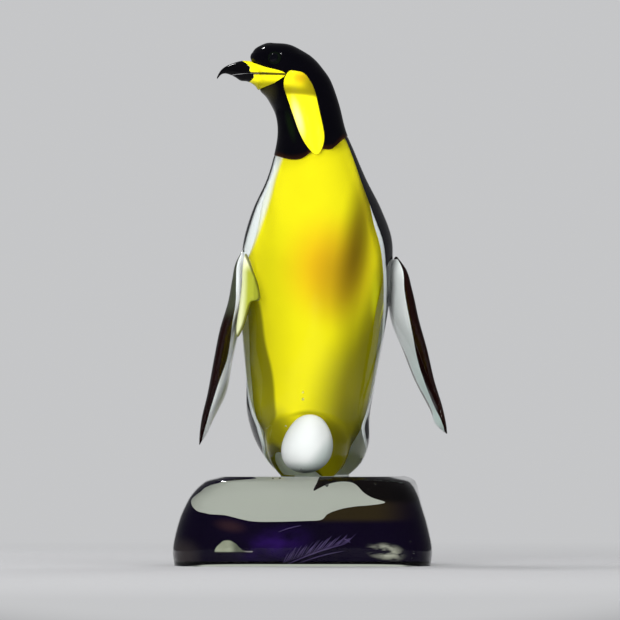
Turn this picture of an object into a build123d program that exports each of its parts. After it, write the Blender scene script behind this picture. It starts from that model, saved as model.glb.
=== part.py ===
from build123d import *
import math
import os

# Glass penguin on a glass block. Millimetres, X to the right of the front view,
# -Y to the front, Z up. The origin is the middle of the underside of the block.

# Block
base_width = 148.6
base_depth = 96.0
base_height = 51.0
base_squareness = 5.0
violet_inset = 6.0
violet_floor = 2.0
violet_fall = 13.0
veil_length = 38.0
veil_breadth = 17.0
veil_thickness = 1.8
veil_height = 12.5
veil_offset = 8.0
veil_sink = 3.6

# Torso
torso_height = 187.0
torso_width = 87.2
torso_depth = 80.0
torso_offset = 6.6
coat_wall = 1.6
lining_wall = 1.4
lining_lead_left = 8.0
lining_lead_right = 2.0

# Head and neck, which look to -X
head_height = 62.6
cheek_relief = 2.0
eye_diameter = 5.6
eye_relief = 1.3
eye_disc_diameter = 7.4
eye_disc_relief = 0.6

# Beak
beak_length = 39.0
beak_width = 13.0
beak_height = 14.0
face_relief = 1.3
mouth_gap = 0.24

# Flippers
right_flipper_length = 102.2
right_flipper_toe = 20.0
left_flipper_length = 112.5
left_flipper_toe = 10.0
flipper_chord = 36.0
flipper_thickness = 11.0
root_height = 42.0
root_width = 14.0
root_depth = 24.0

# Egg and the clear bulge over it
egg_diameter = 23.0
egg_height = 30.0
egg_lift = 4.5
egg_offset = 2.9
cover_width = 48.0
cover_height = 56.0
cover_depth = 37.0
cover_offset = 3.0
cover_rise = 22.0

# Fused seams and the reach of every cut past what it cuts
seam = 0.12
overrun = 15.0

oval_points = 16
base_points = 24

# Level, half size to the left, to the right at the front and at the back, half depth
base_shares = [
    (0.0, 0.486, 0.486, 0.486, 0.482),
    (0.16, 0.500, 0.500, 0.500, 0.500),
    (0.39, 0.487, 0.487, 0.487, 0.494),
    (0.65, 0.458, 0.462, 0.466, 0.484),
    (0.84, 0.420, 0.430, 0.456, 0.470),
    (0.95, 0.381, 0.392, 0.440, 0.448),
    (1.0, 0.325, 0.330, 0.412, 0.415),
]

# Across the block and up it: the upper edge of the violet glass
violet_edge_shares = [
    (-0.56, 0.56),
    (-0.45, 0.66),
    (-0.37, 0.62),
    (-0.28, 0.54),
    (-0.14, 0.50),
    (0.05, 0.50),
    (0.12, 0.56),
    (0.22, 0.64),
    (0.33, 0.70),
    (0.44, 0.74),
    (0.56, 0.70),
]

# Along the veil, twist in degrees, breadth, middle's height
veil_shares = [(-0.5, -10, 0.45, -0.10), (-0.2, -4, 0.9, 0.0), (0.15, 6, 1.0, 0.03), (0.5, 12, 0.5, 0.10)]

# Level, centre, half width, front, back
torso_shares = [
    (0.0, 0.006, 0.212, 0.200, 0.240),
    (0.031, 0.008, 0.285, 0.290, 0.330),
    (0.086, -0.004, 0.357, 0.370, 0.405),
    (0.178, -0.034, 0.400, 0.430, 0.430),
    (0.30, -0.020, 0.428, 0.475, 0.450),
    (0.485, 0.0, 0.480, 0.510, 0.460),
    (0.638, 0.0165, 0.500, 0.520, 0.465),
    (0.730, 0.026, 0.487, 0.495, 0.450),
    (0.822, 0.021, 0.421, 0.410, 0.395),
    (0.914, 0.0165, 0.326, 0.315, 0.325),
    (1.0, 0.003, 0.260, 0.250, 0.270),
]

# Front point across and up, back point across and up, half breadth
head_shares = [
    (-0.339, 0.165, 0.289, 0.183, 0.303),
    (-0.367, 0.349, 0.243, 0.367, 0.284),
    (-0.440, 0.491, 0.193, 0.532, 0.280),
    (-0.475, 0.612, 0.124, 0.697, 0.275),
    (-0.520, 0.734, 0.023, 0.835, 0.252),
    (-0.596, 0.862, -0.124, 0.950, 0.197),
    (-0.535, 0.952, -0.295, 0.986, 0.101),
]
crown_share = (-0.408, 0.994)
# Across and up from the middle of the neck, and out from the middle plane
eye_share = (-0.367, 0.840, 0.219)

# Across and up from the middle of the neck: the lower edge of the black glass
neck_edge_shares = [
    (-0.60, -0.03),
    (-0.335, -0.058),
    (-0.206, -0.092),
    (-0.115, -0.082),
    (-0.045, -0.035),
    (0.040, 0.006),
    (0.145, 0.002),
    (0.215, 0.055),
    (0.289, 0.118),
    (0.60, 0.19),
]

# Level, centre, half width, front, back: the yellow core
core_shares = [
    (0.010, 0.055, 0.020, -0.020, 0.070),
    (0.040, 0.025, 0.110, 0.020, 0.200),
    (0.086, -0.005, 0.190, 0.090, 0.240),
    (0.178, -0.025, 0.235, 0.180, 0.260),
    (0.30, -0.015, 0.265, 0.250, 0.280),
    (0.485, 0.004, 0.305, 0.310, 0.290),
    (0.60, 0.018, 0.345, 0.340, 0.310),
    (0.70, 0.026, 0.380, 0.370, 0.340),
    (0.80, 0.023, 0.350, 0.345, 0.320),
    (0.914, 0.0165, 0.275, 0.265, 0.265),
    (1.0, 0.003, 0.214, 0.208, 0.208),
    (1.10, -0.030, 0.160, 0.165, 0.165),
]

# Level and place towards the back: the front edges of the two back layers
coat_edge_right_shares = [
    (0.055, 0.020),
    (0.178, -0.030),
    (0.42, -0.100),
    (0.592, -0.210),
    (0.69, -0.240),
    (0.767, -0.265),
    (0.85, -0.225),
    (0.93, -0.175),
    (1.05, -0.125),
]
coat_edge_left_shares = [
    (0.055, 0.020),
    (0.14, -0.090),
    (0.25, -0.060),
    (0.42, -0.030),
    (0.60, -0.050),
    (0.767, -0.060),
    (0.896, -0.050),
    (1.05, -0.050),
]
tail_share = (0.012, 0.36)

# Forward of the torso's axis: middles of the egg and of the bulge over it
egg_front_share = 0.297
cover_front_share = 0.2375

# Along the beak from gape to tip, drop, half breadth, half height
beak_shares = [
    (0.28, 0.055, 0.480, 0.457),
    (0.40, 0.040, 0.480, 0.530),
    (0.51, -0.074, 0.460, 0.443),
    (0.66, -0.152, 0.380, 0.365),
    (0.78, -0.170, 0.270, 0.246),
    (0.90, -0.127, 0.165, 0.125),
    (0.97, 0.048, 0.100, 0.080),
    (1.0, 0.176, 0.050, 0.040),
]
# Along the beak and up from the gape: the seam between the yellow and the black glass
beak_seam_shares = [
    (0.74, 1.20),
    (0.655, 0.56),
    (0.54, 0.34),
    (0.515, 0.22),
    (0.520, 0.12),
    (0.475, 0.0),
    (0.460, -0.16),
    (0.505, -0.30),
    (0.57, -0.46),
    (0.68, -1.0),
]
# Along the beak and up from the gape: the closed mouth
mouth_shares = [
    (-0.20, -0.07),
    (0.02, -0.055),
    (0.22, -0.025),
    (0.454, 0.003),
    (0.60, 0.0),
    (0.72, -0.03),
    (0.80, -0.09),
    (0.90, -0.32),
    (1.10, -0.75),
]
gape_share = (-0.271, 0.704)
# Across and up from the middle of the neck: outline of the yellow round the gape
face_shares = [
    (-0.647, 0.850),
    (-0.583, 0.812),
    (-0.491, 0.774),
    (-0.408, 0.747),
    (-0.298, 0.716),
    (-0.262, 0.692),
    (-0.298, 0.656),
    (-0.375, 0.608),
    (-0.455, 0.576),
    (-0.510, 0.550),
    (-0.640, 0.530),
]

# Across and up from the middle of the neck: outline of a cheek patch
cheek_shares = [
    (-0.225, 0.727),
    (-0.271, 0.635),
    (-0.261, 0.516),
    (-0.206, 0.351),
    (-0.133, 0.149),
    (-0.060, 0.021),
    (0.019, -0.041),
    (0.073, 0.030),
    (0.087, 0.149),
    (0.050, 0.351),
    (0.005, 0.544),
    (-0.032, 0.635),
    (-0.096, 0.709),
]

# Upper end of each flipper: out and forward of the torso's axis, and up the torso
right_root_share = (0.540, 0.0, 0.676)
left_root_share = (0.461, 0.1125, 0.697)
# Drop, reach, half thickness, half chord, seam between the two colours
right_blade_shares = [
    (0.07, 0.006, 0.300, 0.300, -0.05),
    (0.19, 0.022, 0.410, 0.445, -0.18),
    (0.36, 0.050, 0.490, 0.500, -0.22),
    (0.53, 0.107, 0.385, 0.460, -0.26),
    (0.70, 0.160, 0.295, 0.375, -0.20),
    (0.865, 0.228, 0.200, 0.250, -0.12),
    (0.965, 0.262, 0.140, 0.140, -0.04),
]
right_tip_share = (1.0, 0.286)
left_blade_shares = [
    (0.07, 0.008, 0.300, 0.280, 0.10),
    (0.16, 0.012, 0.440, 0.420, 0.15),
    (0.26, 0.023, 0.500, 0.485, 0.05),
    (0.41, 0.071, 0.455, 0.475, -0.26),
    (0.565, 0.105, 0.430, 0.445, -0.30),
    (0.745, 0.140, 0.440, 0.365, -0.10),
    (0.872, 0.186, 0.280, 0.250, -0.10),
    (0.95, 0.209, 0.155, 0.140, -0.05),
]
left_tip_share = (1.0, 0.227)
# Middle of the clear root: in, forward and down from the blade's upper end
root_share = (0.32, 0.20, 0.60)

# Up the egg and half breadth
egg_shares = [
    (0.10, 0.315),
    (0.24, 0.450),
    (0.40, 0.500),
    (0.58, 0.470),
    (0.76, 0.370),
    (0.90, 0.225),
]

torso_foot = base_height
neck_height = torso_foot + torso_height
neck_middle = torso_offset + torso_shares[-1][1] * torso_width
reach = base_width


def smooth_ring(centre, along, across, sizes, power=2.0):
    """Closed smooth section. sizes: towards +along, -along, +across, -across.

    along x across points the way in which the sections of one skin follow each other.
    """
    ahead, behind, up, down = sizes
    points = []
    for step in range(oval_points):
        turn = 2 * math.pi * step / oval_points
        c = math.cos(turn)
        s = math.sin(turn)
        spread = (abs(c) ** power + abs(s) ** power) ** (1 / power)
        u = c / spread * (ahead if c > 0 else behind)
        v = s / spread * (up if s > 0 else down)
        points.append(centre + along * u + across * v)
    return Wire([Edge.make_spline(points, periodic=True)])


def skin(rings, start=None, end=None):
    """Solid through closed sections, drawn to a point at either end if one is given."""
    sections = [ring for ring in rings]
    if start is not None:
        sections.insert(0, Vertex(*start))
    if end is not None:
        sections.append(Vertex(*end))
    return Solid.make_loft(sections)


def torso_ring(row, grow):
    level, centre, half, front, back = row
    middle = Vector(torso_offset + centre * torso_width, 0, torso_foot + level * torso_height)
    side = half * torso_width + grow
    sizes = (side, side, back * torso_depth + grow, front * torso_depth + grow)
    return smooth_ring(middle, Vector(1, 0, 0), Vector(0, 1, 0), sizes)


def head_point(across, up):
    """Point in the middle plane of the head, from shares of the head's height."""
    return Vector(neck_middle + across * head_height, 0, neck_height + up * head_height)


def head_ring(row, grow):
    front_x, front_z, back_x, back_z, breadth = row
    front = head_point(front_x, front_z)
    back = head_point(back_x, back_z)
    along = (back - front).normalized()
    half = (back - front).length / 2 + grow
    side = breadth * head_height + grow
    return smooth_ring((front + back) / 2, along, Vector(0, 1, 0), (half, half, side, side))


def figure(grow):
    """Outer form of torso, neck and head, swollen by grow."""
    rings = [torso_ring(row, grow) for row in torso_shares]
    rings += [head_ring(row, grow) for row in head_shares]
    crown = head_point(*crown_share) + Vector(0, 0, grow)
    return skin(rings, end=crown)


def torso_form(grow):
    """Torso and neck alone, run up past the seam under the head."""
    rings = [torso_ring(row, grow) for row in torso_shares]
    rings += [head_ring(row, grow) for row in head_shares[:3]]
    return skin(rings)


def prism(points, plane_x, plane_z, depth, closing):
    """Solid behind a smooth line: the line, closed by straight sides, drawn out both ways."""
    place = Plane(origin=(0, 0, 0), x_dir=plane_x, z_dir=plane_z)
    line = Spline(*points)
    rim = Polyline(points[-1], *closing, points[0])
    face = place * make_face(line + rim)
    return extrude(face, amount=depth, both=True)


def above_neck(lift):
    """Everything above the lower edge of the black head glass."""
    points = [
        (neck_middle + x * head_height, neck_height + z * head_height + lift)
        for x, z in neck_edge_shares
    ]
    top = neck_height + head_height + overrun
    closing = [(points[-1][0], top), (points[0][0], top)]
    return prism(points, (1, 0, 0), (0, -1, 0), torso_depth, closing)


def coat_zone(edge_shares, side, lap, lead):
    """Part of the torso that one half of a back layer covers, grown by lap. lead moves its front edge."""
    points = [
        (back * torso_depth - lap - lead, torso_foot + level * torso_height)
        for level, back in edge_shares
    ]
    tail_y = tail_share[1] * torso_depth
    tail_z = torso_foot + tail_share[0] * torso_height - lap
    points[0] = (points[0][0] + lead, points[0][1] - lap)
    far = torso_depth
    closing = [(far, points[-1][1]), (far, tail_z), (tail_y, tail_z)]
    whole = prism(points, (0, 1, 0), (1, 0, 0), reach, closing)
    half = Pos(torso_offset + side * reach / 2, 0, torso_foot) * Box(reach, reach, 4 * torso_height)
    return whole & half


def back_zone(lap, leads=(0, 0)):
    right = coat_zone(coat_edge_right_shares, 1, lap, leads[1])
    left = coat_zone(coat_edge_left_shares, -1, lap, leads[0])
    return right + left


def core_form(grow):
    """Yellow core, which tapers to a blunt point over the block."""
    rings = [torso_ring(row, grow) for row in core_shares]
    rings[0] = rings[0].moved(Pos(0, 0, -grow))
    return skin(rings)


def egg_form(grow):
    foot = Vector(egg_offset, -egg_front_share * torso_depth, torso_foot + egg_lift)
    rings = []
    for up, half in egg_shares:
        side = half * egg_diameter + grow
        middle = foot + Vector(0, 0, up * egg_height)
        rings.append(
            smooth_ring(middle, Vector(1, 0, 0), Vector(0, 1, 0), (side, side, side, side))
        )
    low = foot - Vector(0, 0, grow)
    high = foot + Vector(0, 0, egg_height + grow)
    return skin(rings, start=low, end=high)


def ellipsoid(width, depth, height):
    return scale(Sphere(0.5), by=(width, depth, height))


def cover_form():
    place = Pos(cover_offset, -cover_front_share * torso_depth, torso_foot + cover_rise)
    bulge = place * ellipsoid(cover_width, cover_depth, cover_height)
    floor = Pos(0, 0, torso_foot + cover_height) * Box(reach, reach, 2 * cover_height)
    return bulge & floor


def base_ring(row, floor, inset):
    """Level section of the block, drawn in by inset. Its right side may reach further at the back."""
    level, left, right_front, right_back, depth = row
    points = []
    for step in range(base_points):
        turn = 2 * math.pi * step / base_points
        c = math.cos(turn)
        s = math.sin(turn)
        spread = (abs(c) ** base_squareness + abs(s) ** base_squareness) ** (1 / base_squareness)
        rear = (1 + s / spread) / 2
        right = right_front + (right_back - right_front) * rear
        half = (right if c > 0 else left) * base_width - inset
        x = c / spread * half
        y = s / spread * (depth * base_depth - inset)
        points.append(Vector(x, y, floor + level * (base_height - floor)))
    return Wire([Edge.make_spline(points, periodic=True)])


def violet_form(grow):
    """Violet mass. Its wavy top falls towards the back."""
    rings = [base_ring(row, violet_floor - grow, violet_inset - grow) for row in base_shares[:-1]]
    points = [(x * base_width, z * base_height + grow) for x, z in violet_edge_shares]
    top = base_height + violet_fall + overrun
    rim = Polyline(points[-1], (points[-1][0], top), (points[0][0], top), points[0])
    front = Plane(origin=(0, -base_depth / 2, 0), x_dir=(1, 0, 0), z_dir=(0, -1, 0))
    face = front * make_face(Spline(*points) + rim)
    above = extrude(face, amount=2 * base_depth, dir=(0, base_depth, -violet_fall), both=True)
    return skin(rings) - above


def veil_form(grow):
    """Thin twisted sheet of paler glass, upright before the violet."""
    rings = []
    front = -base_depth / 2 + veil_sink
    for share, twist, size, lift in veil_shares:
        turn = math.radians(twist)
        wide = Vector(0, math.sin(turn), math.cos(turn))
        thin = Vector(0, -math.cos(turn), math.sin(turn))
        stretch = 2 * share * grow
        across = veil_offset + share * veil_length + stretch
        middle = Vector(across, front, veil_height + lift * veil_breadth)
        half = size * veil_breadth / 2 + grow
        thick = veil_thickness / 2 + grow
        rings.append(smooth_ring(middle, wide, thin, (half, half, thick, thick)))
    return skin(rings)


def beak_point(along, up):
    """Across and up in the middle plane, from shares along the beak and up from the gape."""
    gape = head_point(*gape_share)
    return (gape.X - along * beak_length, gape.Z + up * beak_height)


def head_column(shares, depth):
    """Closed smooth outline on the head, drawn out across it."""
    points = [head_point(x, z) for x, z in shares]
    outline = make_face(Spline(*[(p.X, p.Z) for p in points], periodic=True))
    return extrude(Plane.XZ * outline, amount=depth)


def beak_form(body):
    """Whole beak and the yellow round the gape, which laps the cheeks."""
    rings = []
    for along, drop, breadth, height in beak_shares:
        x, z = beak_point(along, -drop)
        side = breadth * beak_width
        tall = height * beak_height
        sizes = (side, side, tall, tall)
        rings.append(smooth_ring(Vector(x, 0, z), Vector(0, 1, 0), Vector(0, 0, -1), sizes))
    sides = head_column(face_shares, torso_depth) + head_column(face_shares, -torso_depth)
    face = sides & figure(face_relief)
    return (face + skin(rings)) - body


def above_mouth(lift):
    points = [beak_point(along, up) for along, up in mouth_shares]
    points = [(x, z + lift) for x, z in points]
    top = points[0][1] + beak_height + overrun
    closing = [(points[-1][0], top), (points[0][0], top)]
    return prism(points, (1, 0, 0), (0, -1, 0), beak_width, closing)


def beyond_beak_seam(shift):
    points = [beak_point(along, up) for along, up in beak_seam_shares]
    points = [(x - shift, z) for x, z in points]
    far = points[0][0] - beak_length
    closing = [(far, points[-1][1]), (far, points[0][1])]
    return prism(points, (1, 0, 0), (0, -1, 0), beak_width, closing)


def beak_pieces(body):
    beak = beak_form(body)
    upper = beak & above_mouth(mouth_gap / 2)
    lower = beak - above_mouth(-mouth_gap / 2)
    black = beyond_beak_seam(seam / 2)
    dark_grown = beyond_beak_seam(-seam / 2)
    return {
        "beak_upper_yellow": upper - dark_grown,
        "beak_upper_tip": upper & black,
        "beak_lower_yellow": lower - dark_grown,
        "beak_lower_tip": lower & black,
    }


def cheek_patch(side, body, raised):
    """Raised teardrop that follows the head, on the side given by its sign."""
    column = head_column(cheek_shares, -side * torso_depth)
    return (column & raised) - body


def eye_pieces(side, name, body):
    """Flat disc that follows the head, and a bead on it."""
    middle = head_point(eye_share[0], eye_share[1])
    out = side * eye_share[2] * head_height
    column = Pos(middle.X, out, middle.Z) * Rot(90, 0, 0)
    disc = column * Cylinder(eye_disc_diameter / 2, eye_disc_diameter)
    disc = (disc & figure(eye_disc_relief)) - body
    size = 2 * (eye_relief + eye_disc_relief)
    bead = Pos(middle.X, out, middle.Z) * ellipsoid(eye_diameter, size, eye_diameter)
    return {"eye_disc_" + name: disc, "eye_bead_" + name: bead - figure(eye_disc_relief + seam)}


def blade_frame(side):
    """Root point, length, lean of the chord, section table and tip of one flipper."""
    out, forward, up = right_root_share if side > 0 else left_root_share
    x = torso_offset + side * out * torso_width
    root = Vector(x, -forward * torso_depth, torso_foot + up * torso_height)
    if side > 0:
        return (root, right_flipper_length, right_flipper_toe, right_blade_shares, right_tip_share)
    return (root, left_flipper_length, left_flipper_toe, left_blade_shares, left_tip_share)


def blade_form(side, grow):
    root, length, toe, rows, tip = blade_frame(side)
    turn = math.radians(toe)
    chord = Vector(side * math.sin(turn), -math.cos(turn), 0)
    thick = Vector(-math.cos(turn), -side * math.sin(turn), 0)
    rings = []
    for drop, out, thickness, breadth, line in rows:
        middle = root + Vector(side * out * length, 0, -drop * length)
        half = breadth * flipper_chord + grow
        tall = thickness * flipper_thickness + grow
        rings.append(smooth_ring(middle, chord, thick, (half, half, tall, tall)))
    end = root + Vector(side * tip[1] * length, 0, -tip[0] * length - grow)
    return skin(rings, start=root + Vector(0, 0, grow), end=end)


def blade_outside(side, shift):
    """Everything on the outer side of the line between a blade's two colours."""
    root, length, toe, rows, tip = blade_frame(side)
    rise = root.Z
    places = [(rows[0][1], -overrun / length, 0.0)]
    places += [(out, drop, line * thickness) for drop, out, thickness, breadth, line in rows]
    places += [(tip[1], tip[0] + overrun / length, 0.0)]
    points = []
    for out, drop, line in places:
        x = root.X + side * (out * length + line * flipper_thickness + shift)
        points.append((x, rise - drop * length))
    far = root.X + side * length
    closing = [(far, points[-1][1]), (far, points[0][1])]
    turn = math.radians(toe)
    line = Spline(*points)
    rim = Polyline(points[-1], *closing, points[0])
    face = Plane(origin=(0, root.Y, 0), x_dir=(1, 0, 0), z_dir=(0, -1, 0)) * make_face(line + rim)
    lean = (side * math.sin(turn), -math.cos(turn), 0)
    return extrude(face, amount=flipper_chord, dir=lean, both=True)


def flipper_pieces(side, name, body):
    blade = blade_form(side, 0) - body
    root, length, toe, rows, tip = blade_frame(side)
    across, forward, down = root_share
    middle = root - Vector(side * across * root_width, forward * root_depth, down * root_height)
    lump = Pos(*middle) * ellipsoid(root_width, root_depth, root_height)
    clear = lump - blade_form(side, seam) - body
    return {
        "flipper_white_" + name: blade - blade_outside(side, -seam / 2),
        "flipper_dark_" + name: blade & blade_outside(side, seam / 2),
        "flipper_root_" + name: clear,
    }


def torso_pieces():
    """Yellow core, clear casing, white lining, black coat and black head."""
    above = above_neck(0)
    below = above_neck(-seam)
    trunk = torso_form(0) - below
    under_coat = torso_form(-coat_wall)
    lining_top = torso_form(-coat_wall - seam)
    lining_foot = torso_form(-coat_wall - lining_wall)
    leads = (lining_lead_left, lining_lead_right)
    core_room = core_form(seam)
    coat = (trunk & back_zone(0)) - under_coat
    lining = ((lining_top & back_zone(0, leads)) - lining_foot) - below - core_room
    coat_room = back_zone(seam) - lining_top
    lining_room = (back_zone(seam, leads) & under_coat) - torso_form(-coat_wall - lining_wall - seam)
    casing = trunk - coat_room - lining_room - core_room - egg_form(seam)
    return {
        "body_core_yellow": core_form(0) - below,
        "body_casing_clear": casing,
        "back_lining_white": lining,
        "back_coat_black": coat,
        "head_black": figure(0) & above,
    }


def egg_pieces(body):
    cover = cover_form() - body - egg_form(seam)
    return {"egg": egg_form(0), "egg_cover_clear": cover}


def base_pieces():
    block = skin([base_ring(row, 0, 0) for row in base_shares])
    veil_room = veil_form(seam)
    return {
        "base_block_clear": block - violet_form(seam) - veil_room,
        "base_core_violet": violet_form(0) - veil_room,
        "base_veil_lilac": veil_form(0),
    }


def main():
    os.makedirs("parts", exist_ok=True)
    body = figure(seam)
    raised = figure(cheek_relief)
    pieces = {}
    pieces.update(base_pieces())
    pieces.update(torso_pieces())
    pieces.update(egg_pieces(body))
    pieces.update(beak_pieces(body))
    for side, name in ((-1, "left"), (1, "right")):
        pieces["cheek_patch_" + name] = cheek_patch(side, body, raised)
        pieces.update(eye_pieces(side, name, body))
        pieces.update(flipper_pieces(side, name, body))
    for name, shape in pieces.items():
        solids = sorted(shape.solids(), key=lambda solid: solid.volume)
        print(name, len(solids), [round(solid.volume, 1) for solid in solids])
        export_step(shape, "parts/" + name + ".step")


main()
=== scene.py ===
import math
from contextlib import contextmanager

import bmesh
import bpy
import numpy as np
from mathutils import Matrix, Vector
from mathutils.bvhtree import BVHTree


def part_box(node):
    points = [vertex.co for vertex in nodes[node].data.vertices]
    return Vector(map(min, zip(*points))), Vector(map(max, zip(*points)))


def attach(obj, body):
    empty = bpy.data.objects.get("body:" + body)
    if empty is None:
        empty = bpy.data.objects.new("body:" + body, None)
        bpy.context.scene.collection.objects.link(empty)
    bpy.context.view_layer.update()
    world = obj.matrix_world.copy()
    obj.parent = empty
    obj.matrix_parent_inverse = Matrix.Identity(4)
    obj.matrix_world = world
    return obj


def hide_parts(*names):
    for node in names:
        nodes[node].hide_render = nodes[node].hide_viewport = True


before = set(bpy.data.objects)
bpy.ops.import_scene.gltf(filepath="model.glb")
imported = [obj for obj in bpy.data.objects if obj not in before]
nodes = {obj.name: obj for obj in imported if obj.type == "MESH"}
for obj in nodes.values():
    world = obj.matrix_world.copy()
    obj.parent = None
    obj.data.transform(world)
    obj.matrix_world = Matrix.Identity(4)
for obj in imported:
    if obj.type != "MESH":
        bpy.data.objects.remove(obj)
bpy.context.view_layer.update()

# Metres. X to the right of the front view, -Y to the front, Z up.
mm = 0.001

# Sizes shared with the solids
block_low, block_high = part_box("base_block_clear")
block_width = block_high.x - block_low.x
block_depth = block_high.y - block_low.y
block_height = block_high.z - block_low.z
torso_height = 187.0 * mm
torso_width = 87.2 * mm
torso_depth = 80.0 * mm
torso_offset = 6.6 * mm
torso_foot = block_high.z

# Camera
view_distance = 5.0
view_width = 355.9 * mm
view_middle = (4.3 * mm, 146.4 * mm)
eye_level = 95.0 * mm

# Layers under the surface of the clear glass
coat_cover = 0.35 * mm
coat_wall = 1.1 * mm
lining_wall = 1.2 * mm
layer_gap = 0.15 * mm
layer_top = 1.06
# The casing runs up inside the head to this level, and is drawn in there
casing_top = 1.10
neck_inset = 0.45 * mm

# Level, centre, half width, front, back, as shares of the torso's sizes
torso_rows = [
    (0.0, 0.006, 0.212, 0.200, 0.240),
    (0.031, 0.008, 0.285, 0.290, 0.330),
    (0.086, -0.004, 0.357, 0.370, 0.405),
    (0.178, -0.034, 0.400, 0.430, 0.430),
    (0.30, -0.020, 0.428, 0.475, 0.450),
    (0.485, 0.0, 0.480, 0.510, 0.460),
    (0.638, 0.0165, 0.500, 0.520, 0.465),
    (0.730, 0.026, 0.487, 0.495, 0.450),
    (0.822, 0.021, 0.421, 0.410, 0.395),
    (0.914, 0.0165, 0.326, 0.315, 0.325),
    (1.0, 0.003, 0.260, 0.250, 0.270),
    (1.058, -0.015, 0.2254, 0.237, 0.237),
    (1.12, -0.042, 0.219, 0.222, 0.222),
]
core_rows = [
    (0.030, 0.050, 0.010, -0.010, 0.060),
    (0.052, 0.020, 0.034, 0.015, 0.110),
    (0.086, -0.004, 0.117, 0.060, 0.200),
    (0.130, -0.003, 0.191, 0.115, 0.235),
    (0.178, -0.022, 0.230, 0.170, 0.260),
    (0.30, -0.015, 0.265, 0.250, 0.280),
    (0.485, 0.004, 0.305, 0.310, 0.290),
    (0.60, 0.018, 0.345, 0.340, 0.310),
    (0.70, 0.026, 0.380, 0.370, 0.340),
    (0.80, 0.023, 0.350, 0.345, 0.320),
    (0.914, 0.0165, 0.275, 0.265, 0.265),
    (1.0, 0.003, 0.214, 0.208, 0.208),
    (1.10, -0.030, 0.160, 0.165, 0.165),
]
# Level and angle forward of the side, in degrees: the front edges of the back's layers
coat_right_rows = [
    (0.04, -35.0), (0.09, 8.0), (0.14, 22.0), (0.20, 12.0), (0.30, 2.0), (0.42, 6.0), (0.56, 18.0),
    (0.69, 27.0), (0.767, 32.0), (0.85, 32.0), (0.93, 27.0), (1.06, 24.0),
]
coat_left_rows = [
    (0.04, -25.0), (0.07, 8.0), (0.14, 26.0), (0.20, 20.0), (0.28, 6.0), (0.36, -4.0), (0.50, -6.0),
    (0.64, 4.0), (0.72, 14.0), (0.85, 16.0), (0.95, 15.0), (1.06, 12.0),
]
# Level and how far a layer's edges lie forward of these, in degrees: right, left
coat_reach_rows = [(0.0, 0.0, 0.0), (1.0, 0.0, 0.0)]
lining_reach_rows = [
    (0.02, 6.0, 6.0), (0.30, 5.0, 5.0), (0.50, 5.0, 8.0), (0.64, 4.0, 15.0), (0.76, 4.0, 15.0),
    (0.86, -4.0, 9.0), (1.06, -6.0, 5.0),
]
# Hem of the black head round the neck, in millimetres: across and up
neck_edge_points = [
    (-30.7, 236.1), (-14.1, 234.4), (-6.0, 232.2), (-0.3, 232.9), (4.0, 235.8), (9.4, 238.4),
    (15.9, 238.1), (20.3, 241.4), (25.0, 245.4), (44.4, 249.9),
]

# Clear bulge over the egg: middle and half sizes
bulge_middle = (3.0 * mm, -19.0 * mm, torso_foot + 22.0 * mm)
bulge_half = (24.0 * mm, 18.5 * mm, 28.0 * mm)
bulge_blend = 1.2 * mm

# Egg inside the bulge, which widens it: middle and half sizes
egg_middle = np.array([2.9 * mm, -23.76 * mm, torso_foot + 19.5 * mm])
egg_half = np.array([12.4 * mm, 11.5 * mm, 15.4 * mm])
egg_taper = 0.20
egg_lean = 0.09

# Flippers, as in the solids
flipper_chord = 36.0 * mm
flipper_thickness = 11.0 * mm
blade_cover = 0.7 * mm
blade_least = 0.1 * mm
flippers = {
    "right": {
        "side": 1,
        "root": (torso_offset + 47.1 * mm, 0.0, torso_foot + 126.4 * mm),
        "length": 102.2 * mm,
        "white_rows": [(0.0, 2.0), (0.5, 2.0), (1.0, 2.0)],
        "toe": 20.0,
        "tip": (1.0, 0.286),
        "rows": [
            (0.07, 0.006, 0.300, 0.300, -0.05),
            (0.19, 0.022, 0.410, 0.445, -0.18),
            (0.36, 0.050, 0.490, 0.500, -0.22),
            (0.53, 0.107, 0.385, 0.460, -0.26),
            (0.70, 0.160, 0.295, 0.375, -0.20),
            (0.865, 0.228, 0.200, 0.250, -0.12),
            (0.965, 0.262, 0.140, 0.140, -0.04),
        ],
    },
    "left": {
        "side": -1,
        "root": (torso_offset - 40.2 * mm, -9.0 * mm, torso_foot + 130.4 * mm),
        "length": 112.5 * mm,
        "white_rows": [
            (0.0, 2.0), (0.08, 1.1), (0.16, 0.65), (0.26, 0.42), (0.36, 0.30), (0.50, 0.27), (0.75, 0.30),
            (1.0, 0.45),
        ],
        "toe": 10.0,
        "tip": (1.0, 0.227),
        "rows": [
            (0.07, 0.008, 0.300, 0.280, 0.08),
            (0.16, 0.012, 0.440, 0.420, 0.04),
            (0.26, 0.023, 0.500, 0.485, -0.08),
            (0.41, 0.071, 0.455, 0.475, -0.26),
            (0.565, 0.105, 0.430, 0.445, -0.30),
            (0.745, 0.140, 0.440, 0.365, -0.10),
            (0.872, 0.186, 0.280, 0.250, -0.10),
            (0.95, 0.209, 0.155, 0.140, -0.05),
        ],
    },
}
# Clear lump that fuses the right flipper to the body: middle from the flipper's root, and half sizes
lump_shift = np.array([-5.8 * mm, -4.0 * mm, -17.0 * mm])
lump_half = np.array([2.5 * mm, 8.0 * mm, 15.0 * mm])

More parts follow.
